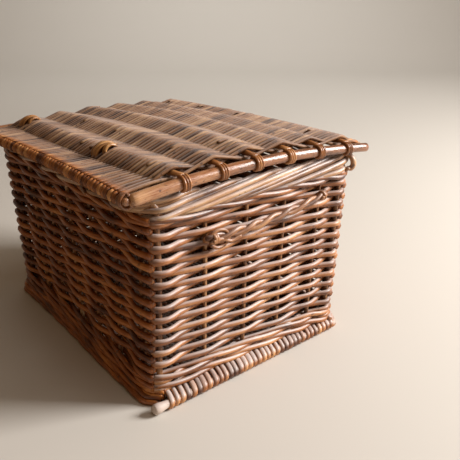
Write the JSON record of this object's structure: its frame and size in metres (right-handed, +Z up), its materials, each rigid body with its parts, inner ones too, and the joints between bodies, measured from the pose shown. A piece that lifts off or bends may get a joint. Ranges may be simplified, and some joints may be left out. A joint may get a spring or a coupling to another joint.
{
  "type": "lidded wicker hamper basket",
  "caption": "Small rectangular willow hamper with flared stake-and-strand walls, a rod border, twisted end handles and a domed woven lid hinged on skein loops.",
  "frame": {"origin": "middle of the footprint, on the surface that the basket stands on", "axes": "+X along the basket towards its right end, +Y towards the hinged back, +Z up"},
  "size_m": [0.3858, 0.3214, 0.2564],
  "materials": {
    "strand": "aged buff willow rod, satin with worn bark",
    "stake": "paler aged willow stake, matte",
    "border": "aged willow rod, satin",
    "rod": "dark polished willow stick",
    "lid_strand": "thin weathered willow, dusty grey brown",
    "skein": "golden split willow skein, satin"
  },
  "bodies": {
    "basket": {"corner_post_back_left": "stake", "corner_post_back_right": "stake", "stake_back_1": "stake", "stake_back_2": "stake", "stake_back_3": "stake", "stake_back_4": "stake", "stake_back_5": "stake", "wall_weave_back": "strand", "border_back": "border", "corner_post_front_left": "stake", "corner_post_front_right": "stake", "stake_front_1": "stake", "stake_front_2": "stake", "stake_front_3": "stake", "stake_front_4": "stake", "stake_front_5": "stake", "wall_weave_front": "strand", "border_front": "border", "corner_post_left_front": "stake", "corner_post_left_back": "stake", "stake_left_1": "stake", "stake_left_2": "stake", "stake_left_3": "stake", "stake_left_4": "stake", "wall_weave_left": "strand", "border_left": "border", "corner_post_right_front": "stake", "corner_post_right_back": "stake", "stake_right_1": "stake", "stake_right_2": "stake", "stake_right_3": "stake", "stake_right_4": "stake", "wall_weave_right": "strand", "border_right": "border", "base_end_stick_left": "stake", "base_end_stick_right": "stake", "base_stick_1": "stake", "base_stick_2": "stake", "base_stick_3": "stake", "base_stick_4": "stake", "base_stick_5": "stake", "base_weave": "strand", "end_handle_left": "strand", "end_handle_right": "strand"},
    "lid": {"lid_outer_stick_back": "rod", "lid_outer_stick_front": "rod", "lid_end_rod_left": "rod", "lid_end_rod_right": "rod", "lid_stick_1": "rod", "lid_stick_2": "rod", "lid_stick_3": "rod", "lid_stick_4": "rod", "lid_stick_5": "rod", "lid_stick_6": "rod", "hinge_loop_1": "skein", "hinge_loop_2": "skein", "lid_weave": "lid_strand"}
  },
  "joints": [
    {"name": "lid_hinge", "type": "hinge", "parent": "basket", "child": "lid", "pos_m": [0, 0.12665, 0.209], "axis": [-1, 0, 0], "range_deg": [0, 92]}
  ]
}
